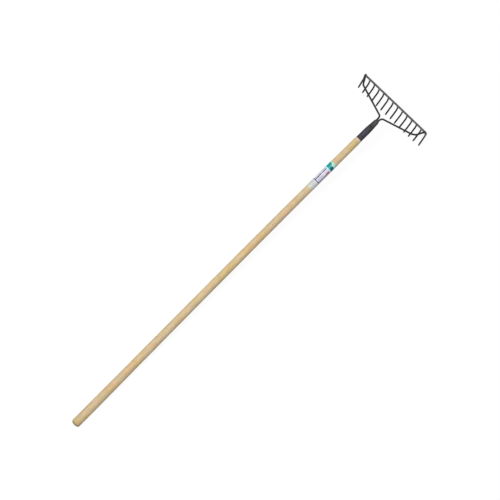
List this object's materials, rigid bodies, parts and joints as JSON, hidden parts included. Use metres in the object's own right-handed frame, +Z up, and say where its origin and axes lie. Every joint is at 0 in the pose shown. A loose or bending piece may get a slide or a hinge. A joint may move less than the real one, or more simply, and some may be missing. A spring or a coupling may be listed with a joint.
{
  "type": "bow rake",
  "caption": "Bow rake: a welded steel head of bent tines on a bar, carried by two curved bow rods from a tapered socket nailed to a long wooden handle.",
  "frame": {"origin": "middle of the bounding box, at the ground that the rake rests on", "axes": "+Y along the handle towards the head, +Z up from the ground, +X along the bar"},
  "size_m": [0.308, 1.5928, 0.111],
  "materials": {
    "handle_wood": "bare light hardwood, thinly sealed, satin",
    "head_paint": "charcoal enamel over steel rod and sheet, satin",
    "weld_paint": "the same charcoal enamel over rough weld beads",
    "nail_steel": "dark steel nail heads",
    "label_film": "printed film sticker with plain bands and bars, no lettering"
  },
  "bodies": {
    "root": {"handle_shaft": "handle_wood", "handle_label": "label_film", "socket_ferrule": "head_paint", "socket_nail_rear": "nail_steel", "socket_nail_front": "nail_steel", "bow_rod_left": "head_paint", "bow_rod_right": "head_paint", "head_bar": "head_paint", "tine_02": "head_paint", "tine_03": "head_paint", "tine_04": "head_paint", "tine_05": "head_paint", "tine_06": "head_paint", "tine_07": "head_paint", "tine_08": "head_paint", "tine_09": "head_paint", "tine_10": "head_paint", "tine_11": "head_paint", "tine_12": "head_paint", "tine_13": "head_paint", "throat_weld": "weld_paint", "bow_weld_left": "weld_paint", "bow_weld_right": "weld_paint", "tine_weld_02": "weld_paint", "tine_weld_03": "weld_paint", "tine_weld_04": "weld_paint", "tine_weld_05": "weld_paint", "tine_weld_06": "weld_paint", "tine_weld_07": "weld_paint", "tine_weld_08": "weld_paint", "tine_weld_09": "weld_paint", "tine_weld_10": "weld_paint", "tine_weld_11": "weld_paint", "tine_weld_12": "weld_paint", "tine_weld_13": "weld_paint"}
  },
  "joints": []
}
